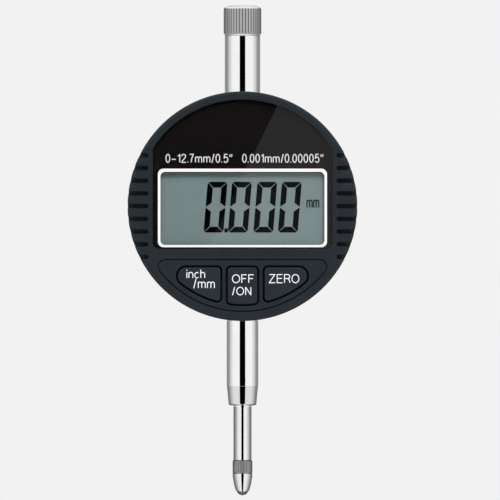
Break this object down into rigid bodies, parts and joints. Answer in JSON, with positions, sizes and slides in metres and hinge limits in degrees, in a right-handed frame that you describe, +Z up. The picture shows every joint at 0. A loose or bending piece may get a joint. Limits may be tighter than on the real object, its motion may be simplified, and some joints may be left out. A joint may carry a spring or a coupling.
{
  "type": "dial indicator",
  "caption": "Round digital dial indicator: arched display window, push keys, sprung spindle with a ball contact point, clamping stem, capped top tube and lug back.",
  "frame": {"origin": "on the spindle axis, halfway along the stem's 8 mm clamping cylinder", "axes": "+Z up along the spindle towards the cap, -Z the way the spindle reaches down, -Y the way the display faces, +X to the reader's right"},
  "size_m": [0.057, 0.0349, 0.1221],
  "materials": {
    "case_plastic": "fine satin grain",
    "window_clear": "polished",
    "window_black": "gloss behind the window",
    "lcd_glass": "satin display glass",
    "inner_plastic": "moulded",
    "contact_rubber": "soft",
    "board_green": "solder mask",
    "chip_epoxy": "cast",
    "chip_parts": "ceramic",
    "key_plastic": "fine satin grain",
    "spring_metal": "plated",
    "frame_zinc": "cast",
    "screw_steel": "zinc plated",
    "polished_steel": "ground and polished",
    "satin_steel": "turned and knurled",
    "bush_bronze": "bored",
    "bumper_rubber": "soft",
    "ball_carbide": "polished tungsten carbide",
    "cell_steel": "nickel plated"
  },
  "bodies": {
    "case": {"front_shell": "case_plastic", "window_lens": "window_clear", "window_mask": "window_black", "lcd_panel": "lcd_glass", "lcd_holder": "inner_plastic", "zebra_strips": "contact_rubber", "main_board": "board_green", "controller_chip": "chip_epoxy", "board_components": "chip_parts", "switch_dome_left": "spring_metal", "switch_dome_middle": "spring_metal", "switch_dome_right": "spring_metal", "chassis_frame": "frame_zinc", "frame_screws": "screw_steel", "stem": "polished_steel", "lower_bush": "satin_steel", "upper_tube": "polished_steel", "upper_bush": "bush_bronze", "dust_cap": "satin_steel", "guide_rail": "satin_steel", "rail_screws": "screw_steel", "stroke_bumper": "bumper_rubber", "return_spring": "spring_metal", "rear_cover": "case_plastic", "rear_cover_screws": "screw_steel", "battery_cell": "cell_steel", "battery_contact_minus": "spring_metal", "battery_contact_plus": "spring_metal"},
    "spindle": {"spindle": "polished_steel", "slider_clamp": "frame_zinc", "slider_board": "board_green", "guide_pin": "polished_steel", "contact_point": "satin_steel", "contact_ball": "ball_carbide"},
    "key_left": {"key_left": "key_plastic"},
    "key_middle": {"key_middle": "key_plastic"},
    "key_right": {"key_right": "key_plastic"},
    "battery_door": {"battery_door": "case_plastic"}
  },
  "joints": [
    {"name": "spindle_slide", "type": "slide", "parent": "case", "child": "spindle", "axis": [0, 0, 1], "range_m": [0, 0.0127], "stiffness_N_per_m": 40, "springref_m": -0.02, "deforming": ["return_spring"]},
    {"name": "key_left_press", "type": "slide", "parent": "case", "child": "key_left", "axis": [0, 1, 0], "range_m": [0, 0.0004], "stiffness_N_per_m": 1000, "springref_m": -0.0005, "deforming": ["switch_dome_left"]},
    {"name": "key_middle_press", "type": "slide", "parent": "case", "child": "key_middle", "axis": [0, 1, 0], "range_m": [0, 0.0004], "stiffness_N_per_m": 1000, "springref_m": -0.0005, "deforming": ["switch_dome_middle"]},
    {"name": "key_right_press", "type": "slide", "parent": "case", "child": "key_right", "axis": [0, 1, 0], "range_m": [0, 0.0004], "stiffness_N_per_m": 1000, "springref_m": -0.0005, "deforming": ["switch_dome_right"]},
    {"name": "battery_door_slide", "type": "slide", "parent": "case", "child": "battery_door", "axis": [1, 0, 0], "range_m": [0, 0.018]}
  ]
}
